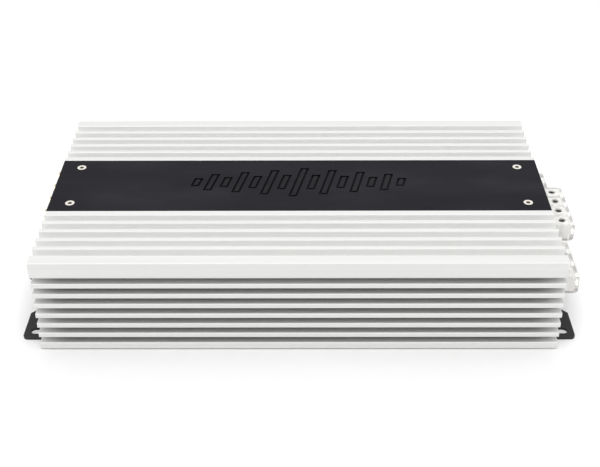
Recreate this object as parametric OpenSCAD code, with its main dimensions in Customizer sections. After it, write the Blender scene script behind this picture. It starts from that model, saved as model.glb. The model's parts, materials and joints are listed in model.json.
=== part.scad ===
// Car audio power amplifier: a finned aluminium extrusion, closed by a steel
// bottom plate and two end panels, with its boards and terminals inside.
//
// X runs along the fins, and the wire terminals are at the +X end.
// Y runs across the fins. Z is up, and Z = 0 is the mounting face.
// The origin is the centre of the four mounting slots. Lengths are in mm.

/* [Extrusion] */
// Length of the extrusion along the fins
body_len = 300; // [290:1:360]
// Depth of the extrusion across the fins
body_depth = 170; // [170:0.5:174]
// Height of the extrusion
body_h = 60.9; // [60:0.1:64]
// Thickness of a fin on the top
top_fin_t = 3.1; // [2.4:0.1:4.2]
// Distance between two fins on the top
top_fin_pitch = 9; // [8.6:0.1:9]
// Depth of the grooves on the top
groove_depth = 5; // [4:0.5:9]
// Thickness of a fin on the side
side_fin_t = 3.2; // [2.5:0.1:4.5]
// Distance between two fins on the side
side_fin_pitch = 6.95; // [6.6:0.05:7]
// Depth of the gaps on the side
gap_depth = 8; // [5:0.5:8]
// Size of the broken edge on every fin
edge_break = 0.45; // [0.2:0.05:0.8]

/* [Badge plate] */
// Width of the plate set into the top
badge_w = 60; // [54:1:60]
// Thickness of that plate
badge_t = 2.4; // [2:0.1:3]
// Depth of its engraved lines
engrave_depth = 0.7; // [0.2:0.1:0.8]
// Width of its engraved lines
engrave_w = 1.4; // [0.5:0.1:1.6]
// Number of engraved level bars
level_bars = 15; // [5:2:17]

/* [Bottom plate] */
// Thickness of the sheet
sheet_t = 1.5; // [1:0.1:1.6]
// How far each mounting tab stands out past the extrusion
tab_reach = 12.6; // [12:0.1:16]
// Width of a mounting slot
slot_w = 5.3; // [4.5:0.1:5.5]
// Length of a mounting slot, end to end
slot_len = 8; // [6:0.1:8]

/* [Terminals] */
// Distance between two speaker terminals
speaker_pitch = 11.1; // [10.4:0.1:11.2]
// How far the speaker block stands out past the extrusion
speaker_reach = 17.5; // [16:0.1:18]
// Distance between two supply terminals
supply_pitch = 12.4; // [12:0.1:12.4]
// How far a supply block stands out past the extrusion
supply_reach = 14; // [12:0.1:15]

/* [Jacks and controls] */
// Distance between two input jacks
jack_pitch = 15.5; // [14:0.5:15.5]
// How far a jack stands out past the extrusion
jack_reach = 10; // [8:0.5:12]
// Distance between two knobs
knob_pitch = 15; // [13:0.5:15]
// Diameter of a knob
knob_d = 9.5; // [8:0.5:11]
// Travel of a slide switch's lever
lever_travel = 2.5; // [1.5:0.1:2.5]

/* [Hidden] */
$fn = 48;
eps = 0.01;
gap = 0.05;

// Extrusion: half sizes, then heights
half_len = body_len / 2;
half_depth = body_depth / 2;
badge_half = badge_w / 2;
badge_floor = body_h - badge_t;
ledge_half = badge_half + 5;
top_fins = 4;
first_top_fin = 42.2;
rib_w = 8.1;
rib_h = 10.3;
rib_groove = 5;
rib_gap_depth = 5;
side_fins = 6;
first_side_fin = 10.4;
base_h = 5;
rim_lift = 0.8;
ceiling = 47;
cavity_half = 73;
rail_w = 8;
rail_h = 8;
sheet_half = 78.7;
sheet_seat = sheet_t + 0.1;
rail_top = sheet_seat + rail_h;

// Fasteners: shank radius, then head
m3_r = 1.5;
m3_tap = m3_r + gap;
m3_csk_r = 2.8;
m3_csk_h = 1.4;
m3_pan_r = 2.75;
m3_pan_h = 2;
hex_key_r = 1.44;
hex_key_depth = 1.2;
badge_screw_at = [half_len - 12.5, 21.3];
badge_screw_len = 8;
rail_mid = cavity_half - rail_w / 2;
sheet_screws_x = [-110, -36, 36, 110];
sheet_screw_len = 7;
panel_screws_z = [5.6, 43];
panel_screw_len = 10;

// Bottom plate
slot_at = [half_len + 5, 69.5];
tab_front = 76.1;
tab_rear = 52.2;
tab_corner_r = 3;

// End panels
panel_t = 1.5;
panel_half = 74.6;
panel_top = 49;
panel_in = half_len;
panel_out = half_len + panel_t;
hole_play = 0.2;

// Main board
board_t = 1.6;
board_z = rail_top;
board_top = board_z + board_t;
board_half = 72.5;
board_x0 = -131;
board_x1 = half_len - 0.5;
board_screws_x = [-118, 14, 133];
standoffs_x = [-75, 100];

// Terminal blocks
block_h = 11.6;
speaker_z = 33.7;
speaker_cells = 4;
supply_z = 22.1;
supply_cells = 3;
supply_y = 23.2 + supply_cells * supply_pitch / 2;
foot_back = 138;
shell_t = 1.4;
face_t = 2.2;
barrel_len = 11.8;
barrel_h = 9.3;
barrel_lift = 1.1;
speaker_barrel_w = 8.4;
supply_barrel_w = 10;
speaker_bore_r = 2.9;
supply_bore_r = 3.1;
bore_lift = 0.8;
bore_len = 10.4;
set_r = 1.95;
set_len = 3;
set_from_face = 7;
tail_w = 4;
tail_t = 1.2;
tail_x = 143.5;

// Input end
preamp_x = -134.4;
preamp_t = 1.6;
preamp_face = preamp_x - preamp_t;
control_z = 36.5;
lower_row_z = 17;
first_jack_y = 3;
jacks = 4;
jack_r = 4.15;
jack_seat_r = 4.4;
first_knob_y = -13;
knobs = 4;
shaft_r = 1.5;
bush_r = 3.4;
knob_x0 = -panel_out - 0.5;
knob_len = 4.6;
switches_y = [-58, -43];
lever_w = 2;
lever_h = 2.2;
port_y = -22;
port_w = 13.2;
port_h = 11.5;
leds_y = [10, 20];
led_r = 1.5;

// Power devices on the side walls
devices_x = [-80, -60, -40, -20, 20, 40, 60, 80];
clamp_screws_x = [-90, -50, -10, 30, 70, 90];
pad_t = 0.3;
tab_t = 1.3;
case_t = 3.2;
case_w = 10.2;
case_h = 9;
case_z = 16;
device_tab_h = 6;
bar_t = 3;
bar_h = 7;

// ---------- shared shapes ----------

// A block between two corners
module block(a, b) {
    translate(a) cube(b - a);
}

// Round bars along each axis, from one coordinate to another
module rod_x(x0, x1, y, z, r) {
    translate([x0, y, z]) rotate([0, 90, 0]) cylinder(h = x1 - x0, r = r);
}

module rod_y(y0, y1, x, z, r) {
    translate([x, y0, z]) rotate([-90, 0, 0]) cylinder(h = y1 - y0, r = r);
}

module rod_z(z0, z1, x, y, r) {
    translate([x, y, z0]) cylinder(h = z1 - z0, r = r);
}

// A copy at +Y and a mirrored copy at -Y
module both_sides() {
    children();
    mirror([0, 1, 0]) children();
}

// A copy at +X and a mirrored copy at -X
module both_ends() {
    children();
    mirror([1, 0, 0]) children();
}

// Countersunk screw, pointing down, with its flat head's top at Z = 0
module csk_screw(len, play = 0) {
    difference() {
        union() {
            translate([0, 0, -m3_csk_h])
                cylinder(h = m3_csk_h, r1 = m3_r + play, r2 = m3_csk_r + play);
            translate([0, 0, -len]) cylinder(h = len - m3_csk_h + eps, r = m3_r + play);
        }
        if (play == 0) translate([0, 0, -hex_key_depth])
            cylinder(h = hex_key_depth + 1, r = hex_key_r, $fn = 6);
    }
}

// Pan-head screw, pointing down, with the underside of its head at Z = 0
module pan_screw(len) {
    difference() {
        union() {
            cylinder(h = m3_pan_h, r = m3_pan_r);
            translate([0, 0, -len]) cylinder(h = len + eps, r = m3_r);
        }
        translate([0, 0, m3_pan_h - hex_key_depth]) cylinder(h = 2, r = hex_key_r, $fn = 6);
    }
}

// ---------- extrusion ----------

// The broken top edge of one upward fin between y0 and y1
function fin_top(y0, y1) = [[y0, body_h - edge_break], [y0 + edge_break, body_h],
    [y1 - edge_break, body_h], [y1, body_h - edge_break]];

// One side fin, from the floor of the gap above it
function side_fin(floor_y, z_above, z1, z0) = [[floor_y, z_above], [floor_y, z1],
    [half_depth - edge_break, z1], [half_depth, z1 - edge_break],
    [half_depth, z0 + edge_break], [half_depth - edge_break, z0]];

function top_fin_y(i, side) = first_top_fin + i * top_fin_pitch + side * top_fin_t / 2;
function side_fin_z(i, side) = first_side_fin + i * side_fin_pitch + side * side_fin_t / 2;

groove_floor = body_h - groove_depth;
rib_floor = body_h - rib_groove;
rib_in = half_depth - rib_w;
rib_bottom = body_h - rib_h;
gap_floor = half_depth - gap_depth;
rib_gap_floor = half_depth - rib_gap_depth;

// Half of the section, from the middle of the top round to the ceiling inside
half_section = concat(
    [[0, badge_floor], [badge_half + 0.1, badge_floor]],
    fin_top(badge_half + 0.1, ledge_half),
    [for (i = [0:top_fins - 1]) each concat(
        [[i == 0 ? ledge_half : top_fin_y(i - 1, 1), groove_floor], [top_fin_y(i, -1), groove_floor]],
        fin_top(top_fin_y(i, -1), top_fin_y(i, 1)))],
    [[top_fin_y(top_fins - 1, 1), rib_floor], [rib_in, rib_floor]],
    fin_top(rib_in, half_depth),
    [[half_depth, rib_bottom + edge_break], [half_depth - edge_break, rib_bottom]],
    [for (i = [side_fins - 1:-1:0]) let (top = i == side_fins - 1) each side_fin(
        top ? rib_gap_floor : gap_floor, top ? rib_bottom : side_fin_z(i + 1, -1),
        side_fin_z(i, 1), side_fin_z(i, -1))],
    [[gap_floor, side_fin_z(0, -1)], [gap_floor, base_h], [half_depth - edge_break, base_h],
        [half_depth, base_h - edge_break], [half_depth, rim_lift], [sheet_half + 0.3, rim_lift],
        [sheet_half + 0.3, sheet_seat], [cavity_half - rail_w, sheet_seat],
        [cavity_half - rail_w, rail_top], [cavity_half, rail_top],
        [cavity_half, ceiling - rail_h], [cavity_half - rail_w, ceiling - rail_h],
        [cavity_half - rail_w, ceiling], [0, ceiling]]);
half_points = len(half_section);
// The same half mirrored, walked backwards, without the points on the middle line
other_half = [for (i = [half_points - 2:-1:1]) [-half_section[i].x, half_section[i].y]];

module heatsink_body() {
    color([0.86, 0.86, 0.85]) difference() {
        rotate([90, 0, 90]) translate([0, 0, -half_len])
            linear_extrude(body_len) polygon(concat(half_section, other_half));
        both_ends() both_sides() {
            rod_z(badge_floor - badge_screw_len, badge_floor + eps,
                badge_screw_at.x, badge_screw_at.y, m3_tap);
            for (z = panel_screws_z)
                rod_x(half_len - panel_screw_len, half_len + eps, rail_mid, z, m3_tap);
        }
        both_sides() {
            for (x = sheet_screws_x) rod_z(sheet_seat - eps, sheet_screw_len + 0.5, x, rail_mid, m3_tap);
            for (x = board_screws_x) rod_z(rail_top - 3.6, rail_top + eps, x, rail_mid, m3_tap);
            for (x = clamp_screws_x) rod_y(cavity_half - eps, cavity_half + 3.4, x, bar_z, m3_tap);
        }
    }
}

// ---------- badge plate ----------

// A leaning bar's outline, as a closed line of width engrave_w
module level_bar(w, h) {
    lean = 0.22;
    function corners(w, h) = [for (s = [[-1, -1], [1, -1], [1, 1], [-1, 1]])
        [s.x * w / 2 + s.y * h / 2 * lean, s.y * h / 2]];
    difference() {
        polygon(corners(w, h));
        polygon(corners(w - 2 * engrave_w, h - 2 * engrave_w));
    }
}

module badge_plate() {
    bar_pitch = 9;
    bar_w = 5.4;
    bars_y = 3;
    tallest = 34;
    // Every second bar is short, and all get lower away from the middle
    function bar_h(k) = (tallest - 2.4 * abs(k)) * (k % 2 == 0 ? 1 : 0.55);
    color([0.13, 0.13, 0.14]) difference() {
        block([-half_len, -badge_half, badge_floor], [half_len, badge_half, body_h]);
        both_ends() both_sides() translate([badge_screw_at.x, badge_screw_at.y, body_h])
            csk_screw(badge_screw_len, play = gap);
        for (k = [-(level_bars - 1) / 2:(level_bars - 1) / 2])
            translate([k * bar_pitch, bars_y, body_h - engrave_depth])
                linear_extrude(1) level_bar(bar_w, bar_h(k));
    }
}

module badge_screws() {
    color([0.8, 0.79, 0.77]) both_ends() both_sides()
        translate([badge_screw_at.x, badge_screw_at.y, body_h]) csk_screw(badge_screw_len);
}

// ---------- bottom plate ----------

// One mounting tab, reaching out from the plate's +X, +Y corner
module tab_outline() {
    out = half_len + tab_reach;
    difference() {
        union() {
            polygon([[half_len - 1, tab_front], [out - tab_corner_r, tab_front],
                [out - tab_corner_r, tab_front - tab_corner_r], [out, tab_front - tab_corner_r],
                [out, tab_rear], [half_len - 1, tab_rear - tab_reach - 1]]);
            translate([out - tab_corner_r, tab_front - tab_corner_r]) circle(tab_corner_r);
        }
        for (s = [-1, 1]) translate([slot_at.x + s * (slot_len - slot_w) / 2, slot_at.y])
            circle(slot_w / 2);
        translate(slot_at) square([slot_len - slot_w, slot_w], center = true);
    }
}

module bottom_plate() {
    color([0.2, 0.2, 0.21]) difference() {
        union() {
            block([-half_len + 0.3, -sheet_half, 0], [half_len - 0.3, sheet_half, sheet_t]);
            both_ends() both_sides() linear_extrude(sheet_t) tab_outline();
        }
        both_sides() for (x = sheet_screws_x)
            translate([x, rail_mid, 0]) mirror([0, 0, 1]) csk_screw(sheet_screw_len, play = gap);
        for (x = standoffs_x) translate([x, 0, 0]) mirror([0, 0, 1]) csk_screw(5, play = gap);
    }
}

module bottom_plate_screws() {
    color([0.25, 0.25, 0.26]) {
        both_sides() for (x = sheet_screws_x)
            translate([x, rail_mid, 0]) mirror([0, 0, 1]) csk_screw(sheet_screw_len);
        for (x = standoffs_x) translate([x, 0, 0]) mirror([0, 0, 1]) csk_screw(5);
    }
}

// ---------- end panels ----------

// A blank panel at the +X end, with its four screw holes
module panel_blank() {
    difference() {
        block([panel_in, -panel_half, sheet_seat], [panel_out, panel_half, panel_top]);
        both_sides() for (z = panel_screws_z)
            translate([panel_out, rail_mid, z]) rotate([0, 90, 0]) csk_screw(panel_screw_len, play = gap);
    }
}

module terminal_end_panel() {
    speaker_half = speaker_cells * speaker_pitch / 2 - 0.1 + hole_play;
    supply_half = supply_cells * supply_pitch / 2 - 0.1 + hole_play;
    color([0.12, 0.12, 0.13]) difference() {
        panel_blank();
        block([panel_in - 1, -speaker_half, speaker_z - hole_play],
            [panel_out + 1, speaker_half, speaker_z + block_h + hole_play]);
        both_sides() block([panel_in - 1, supply_y - supply_half, supply_z - hole_play],
            [panel_out + 1, supply_y + supply_half, supply_z + block_h + hole_play]);
    }
}

// Eleven marks on an arc of 270 degrees round each knob
module dial_marks() {
    mark_r = knob_d / 2 + 1.1;
    for (i = [0:10]) rotate([0, 0, -135 + 27 * i])
        translate([-0.2, mark_r, 0]) cube([0.4, i % 5 == 0 ? 1.5 : 0.9, 1]);
}

module input_end_panel() {
    color([0.12, 0.12, 0.13]) difference() {
        mirror([1, 0, 0]) panel_blank();
        for (i = [0:jacks - 1])
            rod_x(-panel_out - 1, -panel_in + 1, jack_y(i), control_z, jack_seat_r + hole_play);
        for (i = [0:knobs - 1]) {
            rod_x(-panel_out - 1, -panel_in + 1, knob_y(i), control_z, bush_r + hole_play);
            translate([-panel_out - 0.7, knob_y(i), control_z]) rotate([90, 0, 90]) dial_marks();
        }
        for (y = switches_y)
            block([-panel_out - 1, y - 3, lower_row_z - 1.7], [-panel_in + 1, y + 3, lower_row_z + 1.7]);
        block([-panel_out - 1, port_y - port_w / 2 - hole_play, lower_row_z - port_h / 2 - hole_play],
            [-panel_in + 1, port_y + port_w / 2 + hole_play, lower_row_z + port_h / 2 + hole_play]);
        for (y = leds_y) rod_x(-panel_out - 1, -panel_in + 1, y, lower_row_z, led_r + hole_play);
    }
}

module end_panel_screws() {
    color([0.2, 0.2, 0.2]) both_ends() both_sides() for (z = panel_screws_z)
        translate([panel_out, rail_mid, z]) rotate([0, 90, 0]) csk_screw(panel_screw_len);
}

// ---------- terminal blocks ----------

function cell_y(i, cells, pitch) = (i - (cells - 1) / 2) * pitch;

// The nose's section in X and Z: square inside, rounded outside
module nose_section(x0, x1, h) {
    top_r = 0.8;
    bottom_r = 2.2;
    steps = 6;
    polygon(concat([[x0, 0], [x0, h]],
        [for (i = [0:steps]) let (a = 90 - i * 90 / steps)
            [x1 - top_r + top_r * cos(a), h - top_r + top_r * sin(a)]],
        [for (i = [0:steps]) let (a = -i * 90 / steps)
            [x1 - bottom_r + bottom_r * cos(a), bottom_r + bottom_r * sin(a)]]));
}

// Clear housing: a nose through the panel, on a hollow foot that stands on the board
module terminal_housing(cells, pitch, reach, z0, barrel_w, bore_r) {
    half = cells * pitch / 2 - 0.1;
    out = half_len + reach;
    pocket = barrel_w / 2 + gap;
    difference() {
        union() {
            translate([0, half, z0]) rotate([90, 0, 0])
                linear_extrude(2 * half) nose_section(foot_back, out, block_h);
            block([foot_back, -half, board_top], [panel_in - gap, half, z0 + 1]);
        }
        block([foot_back + shell_t, -half + shell_t, board_top - 1],
            [panel_in - gap - shell_t, half - shell_t, z0 + block_h - shell_t]);
        for (i = [0:cells - 1]) translate([0, cell_y(i, cells, pitch), z0]) {
            block([panel_in - 3, -pocket, barrel_lift], [out - face_t, pocket, barrel_lift + barrel_h + gap]);
            rod_x(out - face_t - 1, out + 1, 0, barrel_lift + bore_lift + bore_r, bore_r + 0.6);
            rod_z(barrel_lift + barrel_h - 1, block_h + 1, out - set_from_face, 0, set_r + 0.3);
        }
        for (i = [1:cells - 1]) translate([out, cell_y(i, cells, pitch) - pitch / 2, z0])
            rotate([0, 0, 45]) cube([1.1, 1.1, 3 * block_h], center = true);
    }
}

// Metal barrels with their solder tails
module terminal_barrels(cells, pitch, reach, z0, barrel_w, bore_r) {
    out = half_len + reach;
    front = out - face_t;
    back = front - barrel_len;
    for (i = [0:cells - 1]) translate([0, cell_y(i, cells, pitch), z0 + barrel_lift]) {
        difference() {
            union() {
                block([back, -barrel_w / 2, 0], [front, barrel_w / 2, barrel_h]);
                block([tail_x - tail_t, -tail_w / 2, 3], [back + eps, tail_w / 2, 3 + tail_t]);
                block([tail_x - tail_t, -tail_w / 2, board_top - z0 - barrel_lift],
                    [tail_x, tail_w / 2, 3 + eps]);
            }
            rod_x(front - bore_len, front + 1, 0, bore_lift + bore_r, bore_r);
            rod_z(bore_lift + bore_r, barrel_h + 1, out - set_from_face, 0, set_r + gap);
        }
    }
}

// One clamping screw with a hexagon socket, backed off clear of the wire bore
module set_screw(i, cells, pitch, reach, z0, bore_r) {
    z = z0 + barrel_lift + bore_lift + 2 * bore_r + 0.1;
    color([0.3, 0.3, 0.32]) translate([half_len + reach - set_from_face, cell_y(i, cells, pitch), z])
        difference() {
            union() {
                translate([0, 0, 0.5]) cylinder(h = set_len - 0.5, r = set_r);
                cylinder(h = 0.5 + eps, r1 = set_r - 0.5, r2 = set_r);
            }
            translate([0, 0, set_len - 1.8]) cylinder(h = 2, r = 1.2, $fn = 6);
        }
}

module speaker_terminal_housing() {
    color([0.85, 0.88, 0.9, 0.4]) terminal_housing(
        speaker_cells, speaker_pitch, speaker_reach, speaker_z, speaker_barrel_w, speaker_bore_r);
}

module speaker_terminal_barrels() {
    color([0.78, 0.78, 0.76]) terminal_barrels(
        speaker_cells, speaker_pitch, speaker_reach, speaker_z, speaker_barrel_w, speaker_bore_r);
}

module speaker_set_screw(i) {
    set_screw(i, speaker_cells, speaker_pitch, speaker_reach, speaker_z, speaker_bore_r);
}

module supply_housing(side) {
    color([0.85, 0.88, 0.9, 0.4]) translate([0, side * supply_y, 0]) terminal_housing(
        supply_cells, supply_pitch, supply_reach, supply_z, supply_barrel_w, supply_bore_r);
}

module supply_barrels(side) {
    color([0.78, 0.78, 0.76]) translate([0, side * supply_y, 0]) terminal_barrels(
        supply_cells, supply_pitch, supply_reach, supply_z, supply_barrel_w, supply_bore_r);
}

module supply_set_screw(i, side) {
    translate([0, side * supply_y, 0])
        set_screw(i, supply_cells, supply_pitch, supply_reach, supply_z, supply_bore_r);
}

// ---------- input jacks ----------

function jack_y(i) = first_jack_y + i * jack_pitch;
jack_tip = -half_len - jack_reach;
jack_back = -144;

module rca_housing() {
    color([0.1, 0.1, 0.1]) difference() {
        block([-panel_in, jack_y(0) - 7.4, control_z - 7.4],
            [preamp_face, jack_y(jacks - 1) + 7.4, control_z + 7.4]);
        for (i = [0:jacks - 1]) {
            rod_x(-panel_in - 1, jack_back, jack_y(i), control_z, jack_seat_r + gap);
            rod_x(jack_back - 1, preamp_face + 1, jack_y(i), control_z, 0.75);
        }
    }
}

// The collar that a plug grips, with a wider seat inside the panel
module rca_shells() {
    color([0.85, 0.7, 0.35]) for (i = [0:jacks - 1]) difference() {
        union() {
            rod_x(jack_tip, jack_back, jack_y(i), control_z, jack_r);
            rod_x(-panel_out, jack_back, jack_y(i), control_z, jack_seat_r);
        }
        rod_x(jack_tip - 1, jack_back + 1, jack_y(i), control_z, jack_r - 0.8);
    }
}

module rca_insulators() {
    color([0.9, 0.9, 0.88]) for (i = [0:jacks - 1]) difference() {
        rod_x(jack_tip + 0.8, jack_back, jack_y(i), control_z, jack_r - 0.8 - gap);
        rod_x(jack_tip - 1, jack_back + 1, jack_y(i), control_z, 2.15);
    }
}

module rca_contacts() {
    color([0.82, 0.68, 0.34]) for (i = [0:jacks - 1]) difference() {
        union() {
            rod_x(jack_tip + 1.6, jack_back, jack_y(i), control_z, 2.1);
            rod_x(jack_back - eps, preamp_face, jack_y(i), control_z, 0.7);
        }
        rod_x(jack_tip, jack_back - 2, jack_y(i), control_z, 1.6);
    }
}

// ---------- knobs and their potentiometers ----------

function knob_y(i) = first_knob_y - i * knob_pitch;
pot_front = -143;

module pot_bodies() {
    color([0.35, 0.4, 0.38]) for (i = [0:knobs - 1]) difference() {
        union() {
            block([pot_front, knob_y(i) - 4.75, control_z - 5.5], [preamp_face, knob_y(i) + 4.75, control_z + 5.5]);
            rod_x(-panel_out, pot_front + eps, knob_y(i), control_z, bush_r);
        }
        rod_x(-panel_out - 1, preamp_face - 2, knob_y(i), control_z, shaft_r + gap);
    }
}

// A fluted knob on its own shaft, with a pointer groove
module knob(i) {
    flutes = 12;
    color([0.1, 0.1, 0.1]) difference() {
        union() {
            rod_x(knob_x0 - knob_len, knob_x0, knob_y(i), control_z, knob_d / 2);
            rod_x(knob_x0 - eps, preamp_face - 2.5, knob_y(i), control_z, shaft_r);
        }
        for (k = [0:flutes - 1]) translate([0, knob_y(i), control_z]) rotate([k * 360 / flutes + 15, 0, 0])
            rod_x(knob_x0 - knob_len - 1, knob_x0 - 1, 0, knob_d / 2 + 0.35, 0.8, $fn = 16);
        block([knob_x0 - knob_len - 1, knob_y(i) - 0.4, control_z + 0.8],
            [knob_x0 - knob_len + 0.6, knob_y(i) + 0.4, control_z + knob_d / 2 + 1]);
    }
}

// ---------- slide switches ----------

switch_front = -panel_in;
switch_back = -143;

module slide_switch_bodies() {
    slot_half = (lever_travel + lever_w) / 2 + 0.15;
    color([0.3, 0.3, 0.32]) for (y = switches_y) difference() {
        union() {
            block([switch_front, y - 4.5, lower_row_z - 2.6], [switch_back, y + 4.5, lower_row_z + 2.6]);
            for (k = [-1:1]) block([switch_back - eps, y + 2.5 * k - 0.4, lower_row_z - 0.25],
                [preamp_face, y + 2.5 * k + 0.4, lower_row_z + 0.25]);
        }
        block([switch_front - 1, y - slot_half, lower_row_z - lever_h / 2 - 0.1],
            [switch_front + 1, y + slot_half, lower_row_z + lever_h / 2 + 0.1]);
        block([switch_front + 0.9, y - slot_half - 0.8, lower_row_z - 1.8],
            [switch_back - 1.4, y + slot_half + 0.8, lower_row_z + 1.8]);
    }
}

// A lever held behind its slot by a wider slider; dir = -1 or 1 is its end at rest
module switch_lever(y, dir) {
    color([0.9, 0.9, 0.88]) translate([0, y + dir * lever_travel / 2, lower_row_z]) {
        block([-panel_out - 2, -lever_w / 2, -lever_h / 2], [switch_front + 1.2, lever_w / 2, lever_h / 2]);
        block([switch_front + 1.1, -lever_w / 2 - 0.7, -1.6], [switch_back - 1.6, lever_w / 2 + 0.7, 1.6]);
    }
}

// ---------- remote port and lights ----------

port_out = -panel_out - 0.6;
port_depth = 11;

module remote_port_body() {
    color([0.12, 0.12, 0.12]) difference() {
        block([port_out, port_y - port_w / 2, lower_row_z - port_h / 2],
            [preamp_face, port_y + port_w / 2, lower_row_z + port_h / 2]);
        block([port_out - 1, port_y - 4.9, lower_row_z - 3.6], [port_out + port_depth, port_y + 4.9, lower_row_z + 3]);
        block([port_out - 1, port_y - 2, lower_row_z - 4.9], [port_out + 8, port_y + 2, lower_row_z - 3.5]);
    }
}

module remote_port_contacts() {
    color([0.82, 0.68, 0.34]) for (k = [-1.5:1:1.5])
        block([port_out + 3, port_y + 1.3 * k - 0.25, lower_row_z + 2.4],
            [port_out + port_depth, port_y + 1.3 * k + 0.25, lower_row_z + 3]);
}

module led(y, tint) {
    tip = -panel_out - 1.4;
    color(tint) {
        translate([tip + led_r, y, lower_row_z]) sphere(led_r);
        rod_x(tip + led_r, -147, y, lower_row_z, led_r);
        rod_x(-147 - eps, -146, y, lower_row_z, led_r + 0.4);
        for (s = [-1, 1]) block([-146 - eps, y + s * 0.65 - 0.2, lower_row_z - 0.2],
            [preamp_face, y + s * 0.65 + 0.2, lower_row_z + 0.2]);
    }
}

// ---------- boards ----------

module preamp_board() {
    color([0.05, 0.35, 0.2]) block([preamp_face, -63, 6], [preamp_x, 63, 45]);
}

module control_chips() {
    chip = [1.7, 10, 6];
    color([0.08, 0.08, 0.08]) for (row = [0:1], k = [0:3])
        translate([preamp_x, -46 + 26 * k, 20 + 13 * row]) cube(chip);
}

module board_link_header() {
    pins = 12;
    color([0.1, 0.1, 0.1]) {
        block([-130.6, -16, board_top], [-128, 16, board_top + 2.5]);
        for (i = [0:pins - 1]) translate([preamp_x, -14.3 + 2.54 * i, board_top + 1])
            cube([4, 0.6, 0.6]);
    }
}

module main_board() {
    color([0.05, 0.35, 0.2]) difference() {
        block([board_x0, -board_half, board_z], [board_x1, board_half, board_top]);
        both_sides() for (x = board_screws_x) rod_z(board_z - 1, board_top + 1, x, rail_mid, m3_tap);
        for (x = standoffs_x) rod_z(board_z - 1, board_top + 1, x, 0, m3_tap);
    }
}

module board_standoffs() {
    color([0.8, 0.65, 0.35]) for (x = standoffs_x) difference() {
        translate([x, 0, sheet_t]) cylinder(h = board_z - sheet_t, r = 3.2, $fn = 6);
        rod_z(0, board_z + 1, x, 0, m3_tap);
    }
}

module board_screws() {
    color([0.75, 0.75, 0.75]) {
        both_sides() for (x = board_screws_x) translate([x, rail_mid, board_top]) pan_screw(5);
        for (x = standoffs_x) translate([x, 0, board_top]) pan_screw(4.5);
    }
}

// ---------- power supply and output parts ----------

// A ring core lying flat, lifted off the board by its winding
module ring_core(at, ring, wire) {
    translate([at.x, at.y, board_top + wire]) rotate_extrude()
        translate([ring[0], 0]) square([ring[1] - ring[0], ring[2]]);
}

// Flat copper turns round a ring core, each a frame of its own
module ring_winding(at, ring, wire, turns) {
    turn_w = 1.6 * wire;
    for (k = [0:turns - 1]) translate([at.x, at.y, board_top]) rotate([0, 0, k * 360 / turns])
        difference() {
            block([ring[0] - wire - 0.4, -turn_w / 2, 0], [ring[1] + wire, turn_w / 2, ring[2] + 2 * wire]);
            block([ring[0] - 0.4, -turn_w, wire - gap], [ring[1] + gap, turn_w, ring[2] + wire + gap]);
        }
}

transformer_at = [62, 0];
transformer_ring = [11, 22, 16];
transformer_wire = 1.3;
inductors_at = [[-44, 24], [-44, -24]];
inductor_ring = [7.5, 14, 10];
inductor_wire = 1.2;

module transformer_core() {
    color([0.2, 0.2, 0.22]) ring_core(transformer_at, transformer_ring, transformer_wire);
}

module transformer_winding() {
    color([0.72, 0.4, 0.2]) ring_winding(transformer_at, transformer_ring, transformer_wire, 26);
}

module inductor_cores() {
    color([0.2, 0.2, 0.22]) for (at = inductors_at) ring_core(at, inductor_ring, inductor_wire);
}

module inductor_windings() {
    color([0.72, 0.4, 0.2]) for (at = inductors_at) ring_winding(at, inductor_ring, inductor_wire, 16);
}

// An electrolytic capacitor standing on the board, with its rolled groove and vent
module capacitor(at, r, h) {
    translate([at.x, at.y, board_top]) difference() {
        rotate_extrude() polygon([[0, 0], [r, 0], [r, 3], [r - 0.7, 3.8], [r - 0.7, 4.4], [r, 5.2],
            [r, h - 0.8], [r - 0.8, h], [r - 1.4, h], [r - 1.4, h - 0.4], [0, h - 0.4]]);
        for (a = [0, 90]) rotate([0, 0, a])
            translate([-r * 0.6, -0.2, h - 0.7]) cube([1.2 * r, 0.4, 1]);
    }
}

module rail_capacitors() {
    color([0.12, 0.14, 0.3]) for (x = [-12, 14], y = [-13, 13]) capacitor([x, y], 11, 31);
}

module supply_capacitors() {
    color([0.12, 0.14, 0.3]) for (x = [101, 120], y = [-36, -18, 18, 36]) capacitor([x, y], 8, 26);
}

module driver_board() {
    color([0.05, 0.35, 0.2]) block([-84, -26, board_top], [-82.4, 26, board_top + 24]);
    color([0.08, 0.08, 0.08]) for (y = [-17, -4, 9])
        block([-82.4 - eps, y, board_top + 9], [-80.6, y + 9, board_top + 15]);
}

// ---------- power devices clamped to the side walls ----------

bar_z = case_z + case_h / 2 + 2;

module transistor_cases() {
    color([0.1, 0.1, 0.1]) both_sides() for (x = devices_x)
        block([x - case_w / 2, cavity_half - pad_t - tab_t - case_t, case_z],
            [x + case_w / 2, cavity_half - pad_t - tab_t, case_z + case_h]);
}

module transistor_leads() {
    plane = cavity_half - pad_t;
    color([0.75, 0.75, 0.76]) both_sides() for (x = devices_x) {
        block([x - case_w / 2, plane - tab_t, case_z], [x + case_w / 2, plane, case_z + case_h + device_tab_h]);
        for (k = [-1:1]) block([x + 2.54 * k - 0.4, plane - 0.9, board_top],
            [x + 2.54 * k + 0.4, plane - 0.4, case_z + eps]);
    }
}

module insulator_pads() {
    color([0.7, 0.55, 0.5]) both_sides() difference() {
        block([-98, cavity_half - pad_t, case_z - 1], [98, cavity_half, case_z + case_h + device_tab_h + 1]);
        for (x = clamp_screws_x) rod_y(cavity_half - 1, cavity_half + 1, x, bar_z, m3_tap);
    }
}

module clamp_bars() {
    face = cavity_half - pad_t - tab_t - case_t;
    color([0.6, 0.6, 0.62]) both_sides() difference() {
        block([-96, face - bar_t, bar_z - bar_h / 2], [96, face, bar_z + bar_h / 2]);
        for (x = clamp_screws_x) rod_y(face - bar_t - 1, face + 1, x, bar_z, m3_tap);
    }
}

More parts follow.
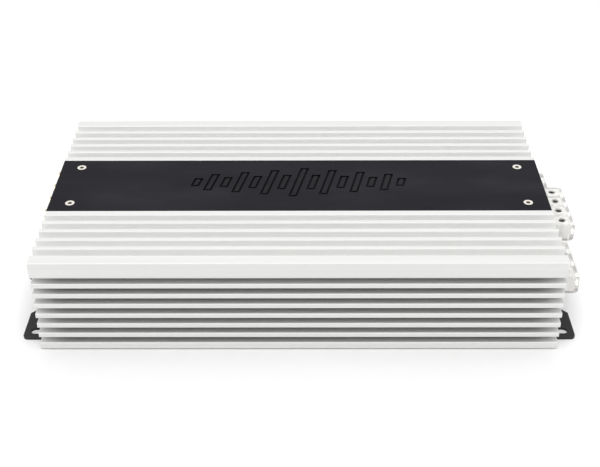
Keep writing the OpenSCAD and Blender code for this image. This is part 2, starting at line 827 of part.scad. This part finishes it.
module clamp_screws() {
    face = cavity_half - pad_t - tab_t - case_t - bar_t;
    color([0.3, 0.3, 0.3]) both_sides() for (x = clamp_screws_x)
        translate([x, face, bar_z]) rotate([90, 0, 0]) pan_screw(cavity_half + 3 - face);
}

// ---------- assembly ----------

heatsink_body();
badge_plate();
badge_screws();
bottom_plate();
bottom_plate_screws();
input_end_panel();
terminal_end_panel();
end_panel_screws();
speaker_terminal_housing();
speaker_terminal_barrels();
supply_housing(-1);  // positive_terminal_housing
supply_barrels(-1);  // positive_terminal_barrels
supply_housing(1);  // ground_terminal_housing
supply_barrels(1);  // ground_terminal_barrels
speaker_set_screw(0);  // speaker_set_screw_1
speaker_set_screw(1);  // speaker_set_screw_2
speaker_set_screw(2);  // speaker_set_screw_3
speaker_set_screw(3);  // speaker_set_screw_4
supply_set_screw(0, -1);  // positive_set_screw_1
supply_set_screw(1, -1);  // positive_set_screw_2
supply_set_screw(2, -1);  // positive_set_screw_3
supply_set_screw(0, 1);  // ground_set_screw_1
supply_set_screw(1, 1);  // ground_set_screw_2
supply_set_screw(2, 1);  // ground_set_screw_3
rca_housing();
rca_shells();
rca_insulators();
rca_contacts();
pot_bodies();
knob(0);  // gain_knob
knob(1);  // low_pass_knob
knob(2);  // subsonic_knob
knob(3);  // bass_boost_knob
slide_switch_bodies();
switch_lever(switches_y[0], -1);  // phase_switch_lever
switch_lever(switches_y[1], 1);  // mode_switch_lever
remote_port_body();
remote_port_contacts();
led(leds_y[0], [0.2, 0.5, 1]);  // power_led
led(leds_y[1], [0.9, 0.15, 0.1]);  // protect_led
preamp_board();
control_chips();
board_link_header();
main_board();
board_standoffs();
board_screws();
transformer_core();
transformer_winding();
rail_capacitors();
supply_capacitors();
inductor_cores();
inductor_windings();
driver_board();
transistor_cases();
transistor_leads();
insulator_pads();
clamp_bars();
clamp_screws();
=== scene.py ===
"""Looks of a car audio amplifier: finishes for every CAD node, painted marks, lights and camera.

Lengths are in metres, in the CAD model's own frame: X along the fins, Z up, floor at Z = 0.
"""

import json

import bpy
from math import radians
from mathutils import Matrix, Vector


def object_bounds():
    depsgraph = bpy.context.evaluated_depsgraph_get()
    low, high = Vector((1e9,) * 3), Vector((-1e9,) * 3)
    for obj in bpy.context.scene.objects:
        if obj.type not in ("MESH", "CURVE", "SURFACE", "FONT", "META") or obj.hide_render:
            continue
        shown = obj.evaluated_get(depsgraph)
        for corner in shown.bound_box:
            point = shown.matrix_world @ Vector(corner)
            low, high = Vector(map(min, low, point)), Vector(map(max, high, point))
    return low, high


MM = 0.001

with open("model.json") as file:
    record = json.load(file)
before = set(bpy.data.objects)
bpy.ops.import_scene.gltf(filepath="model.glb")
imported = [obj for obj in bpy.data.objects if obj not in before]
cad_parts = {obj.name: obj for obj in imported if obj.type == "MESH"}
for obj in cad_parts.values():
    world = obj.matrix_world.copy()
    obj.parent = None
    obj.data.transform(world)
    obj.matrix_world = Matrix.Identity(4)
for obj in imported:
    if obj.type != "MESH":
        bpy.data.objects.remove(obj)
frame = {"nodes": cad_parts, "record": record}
cad_bounds = [list(corner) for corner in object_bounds()]
TOP = cad_bounds[1][2]
scene = bpy.context.scene

# ---------------------------------------------------------------- the view

CAMERA_PLACE = (5.4 * MM, -583.1 * MM, 408.05 * MM)
CAMERA_TURN = (56.68, 0.281, 0.298)
LENS = 66.04
SENSOR = 36.0

# The floor, and where its glow begins and fades
FLOOR_HALF = 4.0
GLOW = 0.25
GLOW_IN_FRONT = 0.2
GLOW_FROM_ENDS = (140 * MM, 185 * MM)
GLOW_FROM_SIDES = (92 * MM, 150 * MM)
GLOW_FADE_X = (900 * MM, 200 * MM)
GLOW_FADE_Y = (700 * MM, 80 * MM)

# ---------------------------------------------------------------- places on the amplifier

# Where light and shade are painted on the extrusion: depths under its top, distances from its middle in
# Y and in X
GROOVE_FROM = 0.5 * MM
GROOVE_ZONE = 9 * MM
RIB_HEIGHT = 10.2 * MM
GROOVE_FRONT = 84 * MM
FIN_FRONT = 84.5 * MM
GAP_FADE = (152 * MM, 132 * MM)

# Depths under the top below which shade is painted: the badge plate's engraved lines and its screws'
# sockets
ENGRAVED = 0.3 * MM
SOCKET = 0.2 * MM

# The four knobs and the marks round them, on the input panel
KNOBS = 4
KNOB_PITCH = 15 * MM
FIRST_KNOB_EDGE = -65.5 * MM
KNOB_Z = 36.5 * MM
DIAL_LAYER = (-151.45 * MM, -151.1 * MM)
DIAL_RING = (5 * MM, 7.6 * MM)
POINTER_LAYER = (-156.55 * MM, -155.9 * MM)
POINTER_HALF = 0.42 * MM
POINTER_FROM = 0.7 * MM


# ---------------------------------------------------------------- camera, light, floor


def make_camera():
    """The camera looks down at the long front side, almost square to it."""
    data = bpy.data.cameras.new("camera")
    data.lens = LENS
    data.sensor_width = SENSOR
    data.clip_start = 0.01
    data.clip_end = 20
    camera = bpy.data.objects.new("camera", data)
    camera.location = CAMERA_PLACE
    camera.rotation_euler = [radians(a) for a in CAMERA_TURN]
    scene.collection.objects.link(camera)
    scene.camera = camera


def make_area_light(name, place, target, size, power):
    """A square soft box at place, facing target."""
    data = bpy.data.lights.new(name, "AREA")
    data.shape = "SQUARE"
    data.size = size
    data.energy = power
    light = bpy.data.objects.new(name, data)
    light.location = place
    light.rotation_euler = (Vector(target) - Vector(place)).to_track_quat("-Z", "Y").to_euler()
    scene.collection.objects.link(light)


def make_world(horizon, zenith):
    """A white room, a little brighter overhead than at the horizon."""
    world = bpy.data.worlds.new("room")
    scene.world = world
    world.use_nodes = True
    tree = world.node_tree
    tree.nodes.clear()
    coords = tree.nodes.new("ShaderNodeTexCoord")
    split = tree.nodes.new("ShaderNodeSeparateXYZ")
    ramp = tree.nodes.new("ShaderNodeValToRGB")
    background = tree.nodes.new("ShaderNodeBackground")
    output = tree.nodes.new("ShaderNodeOutputWorld")
    ramp.color_ramp.elements[0].color = (horizon, horizon, horizon, 1)
    ramp.color_ramp.elements[1].color = (zenith, zenith, zenith, 1)
    tree.links.new(coords.outputs["Generated"], split.inputs[0])
    tree.links.new(split.outputs["Z"], ramp.inputs[0])
    tree.links.new(ramp.outputs["Color"], background.inputs["Color"])
    tree.links.new(background.outputs[0], output.inputs["Surface"])


def make_floor():
    """A white floor with a faint glow round the amplifier, so that only its contact shadow shows."""
    corners = [(x * FLOOR_HALF, y * FLOOR_HALF, 0) for x, y in ((-1, -1), (1, -1), (1, 1), (-1, 1))]
    mesh = bpy.data.meshes.new("floor")
    mesh.from_pydata(corners, [], [(0, 1, 2, 3)])
    floor = bpy.data.objects.new("floor", mesh)
    scene.collection.objects.link(floor)
    finish = Finish("floor_white", roughness=0.9, Emission_Color=(1, 1, 1, 1))
    finish.colour(finish.noise(3, detail=2), (0.79, 0.79, 0.79), (0.81, 0.81, 0.81))
    past_ends = finish.between(finish.away("X"), *GLOW_FROM_ENDS)
    behind = finish.between(finish.place("Y"), *GLOW_FROM_SIDES)
    in_front = finish.between(finish.place("Y"), *(-y for y in GLOW_FROM_SIDES))
    past_sides = finish.math("MAXIMUM", behind, finish.product(in_front, GLOW_IN_FRONT))
    around = finish.math("MAXIMUM", past_ends, past_sides)
    near_x = finish.between(finish.away("X"), *GLOW_FADE_X)
    near_y = finish.between(finish.away("Y"), *GLOW_FADE_Y)
    finish.link(finish.product(around, near_x, near_y, GLOW), finish.shader.inputs["Emission Strength"])
    mesh.materials.append(finish.material)


# ---------------------------------------------------------------- finishes


class Finish:
    """A Principled material whose colour, roughness and bump come from procedural patterns.

    Pattern scales are in features per metre, and stretch divides a pattern along an axis.
    """

    def __init__(self, name, metallic=0.0, roughness=0.5, **sockets):
        self.material = bpy.data.materials.new(name)
        self.material.use_nodes = True
        self.tree = self.material.node_tree
        self.shader = self.tree.nodes["Principled BSDF"]
        self.shader.inputs["Metallic"].default_value = metallic
        self.shader.inputs["Roughness"].default_value = roughness
        for socket, value in sockets.items():
            self.shader.inputs[socket.replace("_", " ")].default_value = value
        self.coords = self.node("ShaderNodeTexCoord").outputs["Object"]
        self.last_normal = None

    def node(self, kind, **settings):
        """A new shader node with its settings."""
        made = self.tree.nodes.new(kind)
        for key, value in settings.items():
            setattr(made, key, value)
        return made

    def link(self, output, target):
        self.tree.links.new(output, target)

    def scaled(self, scale, stretch):
        """The piece's coordinates, scaled for a pattern."""
        mapping = self.node("ShaderNodeMapping")
        mapping.inputs["Scale"].default_value = [scale / s for s in stretch]
        self.link(self.coords, mapping.inputs["Vector"])
        return mapping.outputs["Vector"]

    def noise(self, scale, detail=4, rough=0.5, stretch=(1, 1, 1)):
        """A noise pattern, from 0 to 1."""
        made = self.node("ShaderNodeTexNoise")
        made.inputs["Scale"].default_value = 1.0
        made.inputs["Detail"].default_value = detail
        made.inputs["Roughness"].default_value = rough
        self.link(self.scaled(scale, stretch), made.inputs["Vector"])
        return made.outputs["Fac"]

    def ramp(self, value, low, high, low_at=0.3, high_at=0.7):
        """Goes from low to high, colours or greys, as value goes from low_at to high_at."""
        made = self.node("ShaderNodeValToRGB")
        for end, tone, place in zip(made.color_ramp.elements, (low, high), (low_at, high_at)):
            end.position = place
            end.color = (*tone, 1) if hasattr(tone, "__len__") else (tone, tone, tone, 1)
        self.link(value, made.inputs[0])
        return made.outputs["Color"]

    def mix(self, factor, a, b):
        """Colour a where factor is 0, and b where it is 1."""
        made = self.node("ShaderNodeMix", data_type="RGBA")
        for value, socket in zip((factor, a, b), (made.inputs[0], made.inputs[6], made.inputs[7])):
            self.link(value, socket)
        return made.outputs[2]

    def base(self, colour):
        """Takes the surface's colour from a socket."""
        self.link(colour, self.shader.inputs["Base Color"])

    def colour(self, value, low, high, **ends):
        """The surface's colour, between low and high."""
        self.base(self.ramp(value, low, high, **ends))

    def gloss(self, value, low, high):
        """The surface's roughness, between low and high."""
        self.link(self.ramp(value, low, high), self.shader.inputs["Roughness"])

    def bump(self, height, depth, strength):
        """Relief of a depth in metres, on top of what is there already."""
        made = self.node("ShaderNodeBump")
        made.inputs["Distance"].default_value = depth
        made.inputs["Strength"].default_value = strength
        self.link(height, made.inputs["Height"])
        if self.last_normal is not None:
            self.link(self.last_normal, made.inputs["Normal"])
        self.last_normal = made.outputs["Normal"]
        self.link(self.last_normal, self.shader.inputs["Normal"])

    def soft_edges(self, radius):
        """Edges that catch the light as if they were rounded."""
        made = self.node("ShaderNodeBevel", samples=4)
        made.inputs["Radius"].default_value = radius
        self.last_normal = made.outputs["Normal"]
        self.link(self.last_normal, self.shader.inputs["Normal"])

    def math(self, operation, a, b):
        """One scalar operation; a is a socket, b a socket or a number."""
        made = self.node("ShaderNodeMath", operation=operation)
        self.link(a, made.inputs[0])
        if isinstance(b, (int, float)):
            made.inputs[1].default_value = b
        else:
            self.link(b, made.inputs[1])
        return made.outputs[0]

    def product(self, first, *others):
        """All the values multiplied; the first is a socket."""
        for other in others:
            first = self.math("MULTIPLY", first, other)
        return first

    def between(self, value, start, end):
        """0 at start, rising smoothly to 1 at end."""
        made = self.node("ShaderNodeMapRange", interpolation_type="SMOOTHSTEP")
        self.link(value, made.inputs["Value"])
        made.inputs["From Min"].default_value = start
        made.inputs["From Max"].default_value = end
        return made.outputs["Result"]

    def part_of(self, vector, axis):
        """One coordinate of a vector."""
        split = self.node("ShaderNodeSeparateXYZ")
        self.link(vector, split.inputs[0])
        return split.outputs[axis]

    def place(self, axis):
        """A coordinate of the shaded point."""
        return self.part_of(self.coords, axis)

    def away(self, axis):
        """The shaded point's distance from the middle, along an axis."""
        return self.math("ABSOLUTE", self.place(axis), 0)

    def under(self, value, limit):
        """1 where value is less than limit, 0 elsewhere."""
        return self.math("LESS_THAN", value, limit)

    def over(self, value, limit):
        """1 where value is more than limit, 0 elsewhere."""
        return self.math("GREATER_THAN", value, limit)

    def in_range(self, value, low, high):
        """1 where value lies between low and high, 0 elsewhere."""
        return self.product(self.over(value, low), self.under(value, high))

    def below_top(self, depth):
        """1 on everything more than depth under the top of the amplifier, 0 above it."""
        return self.under(self.place("Z"), TOP - depth)

    def knob_layer(self, low, high):
        """Distances in Y and Z from the nearest knob's axis, and 1 between low and high in X."""
        y = self.place("Y")
        cell = self.math("FLOORED_MODULO", self.math("SUBTRACT", y, FIRST_KNOB_EDGE), KNOB_PITCH)
        across = self.math("SUBTRACT", cell, KNOB_PITCH / 2)
        up = self.math("SUBTRACT", self.place("Z"), KNOB_Z)
        beside = self.in_range(y, FIRST_KNOB_EDGE, FIRST_KNOB_EDGE + KNOBS * KNOB_PITCH)
        return across, up, self.product(beside, self.in_range(self.place("X"), low, high))

    def dial_marks(self):
        """1 in the marks cut round the four knobs, 0 elsewhere."""
        across, up, layer = self.knob_layer(*DIAL_LAYER)
        squares = self.math("ADD", self.product(across, across), self.product(up, up))
        ring = self.in_range(self.math("SQRT", squares, 0), *DIAL_RING)
        return self.product(ring, layer)

    def pointer(self):
        """1 in the pointer groove of a knob, 0 elsewhere."""
        across, up, layer = self.knob_layer(*POINTER_LAYER)
        slot = self.in_range(across, -POINTER_HALF, POINTER_HALF)
        return self.product(slot, self.over(up, POINTER_FROM), layer)

    def facing_x(self):
        """1 on faces square to X, 0 elsewhere."""
        normal = self.node("ShaderNodeNewGeometry").outputs["True Normal"]
        return self.over(self.math("ABSOLUTE", self.part_of(normal, "X"), 0), 0.9)

    def not_facing_x(self, mask):
        """The mask, without the faces that are square to X."""
        return self.math("MAXIMUM", self.math("SUBTRACT", mask, self.facing_x()), 0)

    def inside_top_grooves(self):
        """1 on the walls and floors of the grooves in the top, where light is painted, 0 elsewhere."""
        high = self.over(self.place("Z"), TOP - GROOVE_ZONE)
        within = self.product(high, self.under(self.away("Y"), GROOVE_FRONT))
        return self.not_facing_x(self.product(within, self.below_top(GROOVE_FROM)))

    def inside_side_gaps(self):
        """1 on the hidden faces between the side fins, where shade is painted, fading to 0 at their
        open ends, 0 elsewhere.
        """
        behind_fronts = self.under(self.away("Y"), FIN_FRONT)
        along = self.not_facing_x(self.product(behind_fronts, self.below_top(RIB_HEIGHT)))
        return self.product(along, self.between(self.away("X"), *GAP_FADE))


def satin_aluminium():
    """Matt silver anodised extrusion: die lines along X, saw marks on the cut ends, painted shade in
    the side gaps, painted light in the top grooves.
    """
    f = Finish("satin_aluminium", metallic=0.2)
    lines = f.noise(900, detail=6, rough=0.65, stretch=(160, 1, 1))
    saw = f.noise(1500, detail=5, rough=0.7, stretch=(1, 12, 1))
    grain = f.noise(6000, detail=2)
    marks = f.mix(f.facing_x(), lines, saw)
    bright = f.ramp(marks, (0.70, 0.70, 0.69), (0.76, 0.76, 0.75))
    # Painted shade on the faces between the side fins
    painted_gap_shade = f.ramp(marks, (0.44, 0.44, 0.43), (0.50, 0.50, 0.49))
    # Painted light on the walls and floors of the top grooves
    painted_groove_light = f.ramp(marks, (0.755, 0.755, 0.745), (0.815, 0.815, 0.805))
    outside = f.mix(f.inside_top_grooves(), bright, painted_groove_light)
    f.base(f.mix(f.inside_side_gaps(), outside, painted_gap_shade))
    f.gloss(marks, 0.55, 0.65)
    f.bump(marks, 0.02 * MM, 0.5)
    f.bump(grain, 0.004 * MM, 0.5)
    return f.material


def badge_black():
    """Black anodised sheet, brushed along its length, with painted shade in its engraved lines."""
    f = Finish("badge_black", Specular_IOR_Level=0.07)
    brushed = f.noise(1600, detail=6, rough=0.7, stretch=(90, 1, 1))
    clouds = f.noise(45, detail=3, stretch=(2.5, 1, 1))
    sheet = f.ramp(f.mix(clouds, brushed, clouds), (0.005, 0.0045, 0.0075), (0.0215, 0.0205, 0.0255))
    # Painted shade for the engraved lines
    engraved_shade = f.ramp(brushed, (0.0008, 0.0008, 0.0010), (0.0018, 0.0018, 0.0020))
    f.base(f.mix(f.below_top(ENGRAVED), sheet, engraved_shade))
    f.gloss(brushed, 0.36, 0.55)
    f.bump(brushed, 0.015 * MM, 0.6)
    return f.material


def powder_black():
    """Black powder coat with a fine orange-peel texture."""
    f = Finish("sheet_black", Specular_IOR_Level=0.3)
    texture = f.noise(2200, detail=3)
    f.colour(texture, (0.018, 0.018, 0.019), (0.03, 0.03, 0.031))
    f.gloss(texture, 0.45, 0.62)
    f.bump(texture, 0.03 * MM, 0.6)
    return f.material


def panel_black():
    """Black coated end panels, with white paint in the dial marks."""
    f = Finish("panel_black", Specular_IOR_Level=0.35)
    f.soft_edges(0.25 * MM)
    grain = f.noise(5000, detail=2)
    haze = f.noise(60, detail=3)
    coat = f.ramp(haze, (0.022, 0.022, 0.024), (0.032, 0.032, 0.034))
    f.base(f.mix(f.dial_marks(), coat, f.ramp(haze, 0.55, 0.65)))
    f.gloss(grain, 0.38, 0.48)
    f.bump(grain, 0.006 * MM, 0.5)
    return f.material


def tooled(name, metallic, low, high):
    """A finish with fine tool lines and without its colour, and the pattern of the lines."""
    f = Finish(name, metallic=metallic)
    f.soft_edges(0.12 * MM)
    lines = f.noise(4000, detail=4, rough=0.6, stretch=(3, 1, 1))
    f.gloss(lines, low, high)
    f.bump(lines, 0.004 * MM, 0.4)
    return f, lines


def turned_metal(name, dark, light, low, high):
    """Machined and plated metal."""
    f, lines = tooled(name, 1.0, low, high)
    f.colour(lines, dark, light)
    return f.material


def badge_screw_steel():
    """Nickel plated heads with painted shade at the bottom of their hexagon sockets."""
    f, lines = tooled("badge_screw_steel", 0.3, 0.35, 0.5)
    plated = f.ramp(lines, (0.76, 0.725, 0.655), (0.84, 0.80, 0.73))
    # Painted shade for the bottom of the sockets
    socket_shade = f.ramp(lines, (0.14, 0.125, 0.105), (0.21, 0.185, 0.155))
    f.base(f.mix(f.below_top(SOCKET), plated, socket_shade))
    return f.material


def clear_plastic():
    """Clear moulded polycarbonate; a little emission stands in for the light scattered inside it."""
    f = Finish("clear_plastic", Transmission_Weight=0.75, IOR=1.45, Emission_Color=(1, 0.985, 0.96, 1),
               Emission_Strength=0.055)
    flow = f.noise(220, detail=3, stretch=(1, 1, 3))
    f.colour(flow, (0.985, 0.98, 0.97), (1.0, 0.995, 0.985))
    f.gloss(flow, 0.03, 0.08)
    f.bump(flow, 0.05 * MM, 0.35)
    return f.material


def black_plastic():
    """Black moulded plastic, with white paint in the knobs' pointers."""
    f = Finish("black_plastic")
    f.soft_edges(0.2 * MM)
    haze = f.noise(90, detail=3)
    grain = f.noise(3500, detail=3)
    plain = f.ramp(haze, (0.018, 0.018, 0.018), (0.032, 0.032, 0.032))
    f.base(f.mix(f.pointer(), plain, f.ramp(haze, 0.6, 0.7)))
    f.gloss(grain, 0.42, 0.58)
    f.bump(grain, 0.02 * MM, 0.5)
    return f.material


def tin_plate():
    """Bright tin plate, with painted shade inside the wire bores and screw holes."""
    f, lines = tooled("nickel_brass", 0.25, 0.35, 0.5)
    # Painted shade where the surface is enclosed, from ambient occlusion
    enclosed = f.node("ShaderNodeAmbientOcclusion", samples=6, only_local=True)
    enclosed.inputs["Distance"].default_value = 5 * MM
    open_face = f.between(enclosed.outputs["AO"], 0.45, 0.85)
    inside = f.ramp(lines, (0.20, 0.19, 0.18), (0.28, 0.27, 0.26))
    outside = f.ramp(lines, (0.90, 0.89, 0.87), (0.97, 0.96, 0.94))
    f.base(f.mix(open_face, inside, outside))
    return f.material


def moulded(name, dark, light, low, high, grain_depth):
    """Injection-moulded plastic with a fine spark-eroded grain."""
    f = Finish(name)
    f.soft_edges(0.2 * MM)
    grain = f.noise(3500, detail=3)
    f.colour(f.noise(90, detail=3), dark, light)
    f.gloss(grain, low, high)
    f.bump(grain, grain_depth * MM, 0.5)
    return f.material


def lens(name, tint):
    """A coloured indicator light, unlit."""
    f = Finish(name, roughness=0.12, Transmission_Weight=0.6, IOR=1.5)
    f.colour(f.noise(400, detail=2), tint, [min(1, 1.25 * c + 0.02) for c in tint])
    return f.material


def circuit_board():
    """Solder mask over faint copper tracks."""
    f = Finish("board_green", Coat_Weight=0.4, Coat_Roughness=0.2)
    tracks = f.node("ShaderNodeTexBrick")
    tracks.inputs["Scale"].default_value = 1.0
    tracks.inputs["Mortar Size"].default_value = 0.06
    f.link(f.scaled(180, (1, 1, 1)), tracks.inputs["Vector"])
    f.colour(tracks.outputs["Fac"], (0.012, 0.10, 0.045), (0.03, 0.19, 0.09), low_at=0.0, high_at=1.0)
    f.gloss(f.noise(500, detail=3), 0.3, 0.45)
    f.bump(tracks.outputs["Fac"], 0.03 * MM, 0.6)
    return f.material


def copper_wire():
    """Enamelled winding wire."""
    f = Finish("copper_wire", metallic=1.0, Coat_Weight=0.6, Coat_Roughness=0.15)
    strands = f.noise(1200, detail=3, stretch=(1, 1, 4))
    f.colour(strands, (0.50, 0.19, 0.07), (0.78, 0.36, 0.16))
    f.gloss(strands, 0.25, 0.4)
    f.bump(strands, 0.1 * MM, 0.5)
    return f.material


# Name, dark and light tone, low and high roughness
TURNED = (
    ("bright_steel", (0.66, 0.64, 0.62), (0.80, 0.78, 0.76), 0.2, 0.32),
    ("black_steel", (0.06, 0.06, 0.065), (0.11, 0.11, 0.115), 0.3, 0.45),
    ("set_screw_steel", (0.07, 0.07, 0.075), (0.13, 0.13, 0.14), 0.28, 0.42),
    ("gold_plate", (0.86, 0.76, 0.52), (0.94, 0.86, 0.64), 0.2, 0.32),
    ("tinned_metal", (0.58, 0.58, 0.59), (0.70, 0.70, 0.71), 0.28, 0.42),
)

# Name, dark and light tone, low and high roughness, depth of the grain in mm
MOULDED = (
    ("white_plastic", (0.74, 0.74, 0.71), (0.84, 0.84, 0.81), 0.35, 0.5, 0.02),
    ("ferrite", (0.035, 0.035, 0.038), (0.07, 0.07, 0.075), 0.6, 0.8, 0.04),
    ("capacitor_sleeve", (0.02, 0.025, 0.10), (0.04, 0.045, 0.15), 0.2, 0.35, 0.01),
    ("pad_silicone", (0.48, 0.34, 0.30), (0.58, 0.43, 0.38), 0.6, 0.75, 0.02),
)

LENSES = (
    ("blue_lens", (0.08, 0.25, 0.85)),
    ("red_lens", (0.75, 0.04, 0.03)),
)

OTHERS = {
    "satin_aluminium": satin_aluminium,
    "badge_black": badge_black,
    "sheet_black": powder_black,
    "panel_black": panel_black,
    "badge_screw_steel": badge_screw_steel,
    "clear_plastic": clear_plastic,
    "nickel_brass": tin_plate,
    "black_plastic": black_plastic,
    "board_green": circuit_board,
    "copper_wire": copper_wire,
}


def make_finishes():
    """Every finish, by the name of its material slot."""
    made = {row[0]: turned_metal(*row) for row in TURNED}
    made.update({row[0]: moulded(*row) for row in MOULDED})
    made.update({row[0]: lens(*row) for row in LENSES})
    made.update({slot: make() for slot, make in OTHERS.items()})
    return made


def dress_nodes():
    """Gives every CAD node the finish of its material slot in the record."""
    finishes = make_finishes()
    for part in frame["record"]["subparts"]:
        mesh = frame["nodes"][part["node"]].data
        mesh.materials.clear()
        mesh.materials.append(finishes[part["material_slot"]])


# ---------------------------------------------------------------- the scene

scene.view_settings.view_transform = "Standard"
make_camera()
make_world(horizon=0.7, zenith=0.85)
make_floor()
make_area_light("overhead", (0, -0.5, 1.5), (0, 0, 0), 1.8, 18)
dress_nodes()
